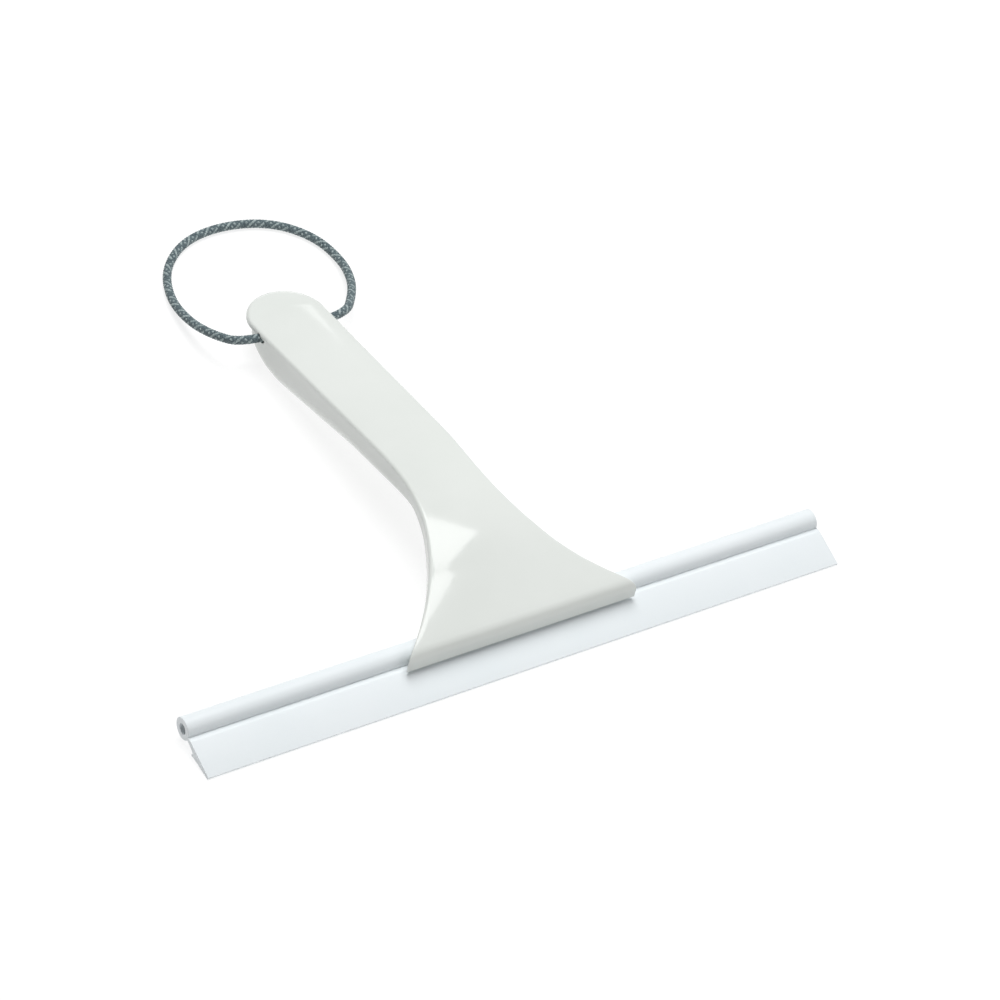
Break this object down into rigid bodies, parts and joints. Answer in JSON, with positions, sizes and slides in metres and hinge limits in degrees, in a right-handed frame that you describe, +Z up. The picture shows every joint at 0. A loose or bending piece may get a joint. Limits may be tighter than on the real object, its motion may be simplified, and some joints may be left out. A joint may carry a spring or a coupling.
{
  "type": "window cleaning squeegee",
  "caption": "Hand squeegee with a glossy two-shell flared handle, a soft tube-and-lip wiping blade on a stiffening rod, and a braided cord hanging loop through the grip's end.",
  "frame": {"origin": "bottom centre of the handle and blade on the surface they lie on, the cord left out", "axes": "+X along the blade, +Y from the blade's working edge towards the grip's end, +Z up from the table"},
  "size_m": [0.24, 0.2313, 0.0278],
  "materials": {
    "handle_plastic": "glossy moulded off-white plastic",
    "blade_rubber": "smooth soft white blade compound",
    "rod_aluminium": "drawn, plain",
    "screw_steel": "zinc plated",
    "cord_braid": "braided grey-teal cord with light flecks"
  },
  "bodies": {
    "handle": {"front_shell": "handle_plastic", "rear_shell": "handle_plastic", "shell_screws": "screw_steel", "cord_knot": "cord_braid"},
    "blade": {"blade_bead": "blade_rubber", "stiffening_rod": "rod_aluminium"},
    "lip": {"blade_lip": "blade_rubber"},
    "loop": {"hang_cord": "cord_braid"}
  },
  "joints": [
    {"name": "blade_slide", "type": "slide", "parent": "handle", "child": "blade", "axis": [1, 0, 0], "range_m": [-0.15, 0.15]},
    {"name": "lip_flex", "type": "hinge", "parent": "blade", "child": "lip", "pos_m": [0, -0.0765, 0.00452], "axis": [1, 0, 0], "range_deg": [-15, 15], "stiffness_Nm_per_rad": 0.4},
    {"name": "loop_swing", "type": "hinge", "parent": "handle", "child": "loop", "pos_m": [0, 0.0713, 0.0126], "axis": [1, 0, 0], "range_deg": [0, 150]}
  ]
}
